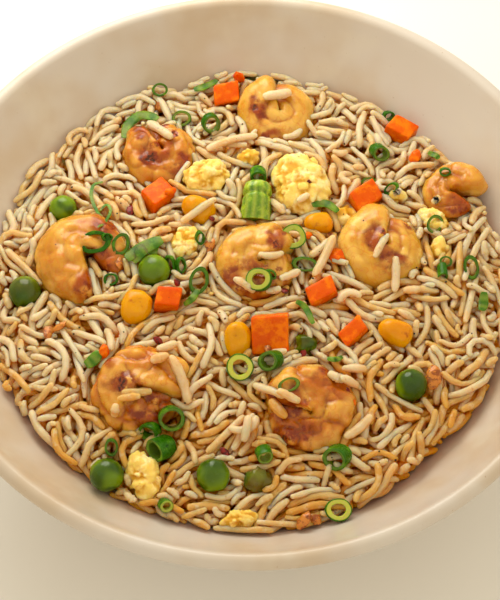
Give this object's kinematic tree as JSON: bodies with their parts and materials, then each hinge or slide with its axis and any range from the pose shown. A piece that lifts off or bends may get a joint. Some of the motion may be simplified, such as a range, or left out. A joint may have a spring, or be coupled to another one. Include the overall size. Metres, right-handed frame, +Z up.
{
  "type": "bowl of fried rice with prawns",
  "caption": "Round footed bowl filled with fried rice, topped with curled prawns, peas, diced carrot, sweetcorn, scrambled egg and sliced scallion.",
  "frame": {"origin": "middle of the foot ring's underside, at the middle of the bounding box's base", "axes": "+Z up along the bowl's axis, through its mouth; +X to the right and +Y away from the side the bowl is seen from"},
  "size_m": [0.171, 0.171, 0.056],
  "materials": {
    "glaze": "smooth beige glaze on stoneware",
    "rice": "cooked, lightly oiled grains",
    "prawn_meat": "moist seared meat",
    "pea_skin": "moist skin",
    "carrot_flesh": "moist cut flesh",
    "sweetcorn": "glossy thin skin",
    "egg_curd": "soft crumbly curd",
    "scallion_green": "moist leaf"
  },
  "bodies": {
    "root": {"bowl": "glaze", "rice_heap": "rice", "prawn_1": "prawn_meat", "prawn_2": "prawn_meat", "prawn_3": "prawn_meat", "prawn_4": "prawn_meat", "prawn_5": "prawn_meat", "prawn_6": "prawn_meat", "prawn_7": "prawn_meat", "prawn_8": "prawn_meat", "pea_1": "pea_skin", "pea_2": "pea_skin", "pea_3": "pea_skin", "pea_4": "pea_skin", "pea_5": "pea_skin", "pea_6": "pea_skin", "pea_7": "pea_skin", "pea_8": "pea_skin", "carrot_1": "carrot_flesh", "carrot_2": "carrot_flesh", "carrot_3": "carrot_flesh", "carrot_4": "carrot_flesh", "carrot_5": "carrot_flesh", "carrot_6": "carrot_flesh", "carrot_7": "carrot_flesh", "carrot_8": "carrot_flesh", "kernel_1": "sweetcorn", "kernel_2": "sweetcorn", "kernel_3": "sweetcorn", "kernel_4": "sweetcorn", "kernel_5": "sweetcorn", "egg_1": "egg_curd", "egg_2": "egg_curd", "egg_3": "egg_curd", "egg_4": "egg_curd", "egg_5": "egg_curd", "egg_6": "egg_curd", "egg_7": "egg_curd", "egg_8": "egg_curd", "egg_9": "egg_curd", "egg_10": "egg_curd", "scallion_1": "scallion_green", "scallion_2": "scallion_green", "scallion_3": "scallion_green"}
  },
  "joints": []
}
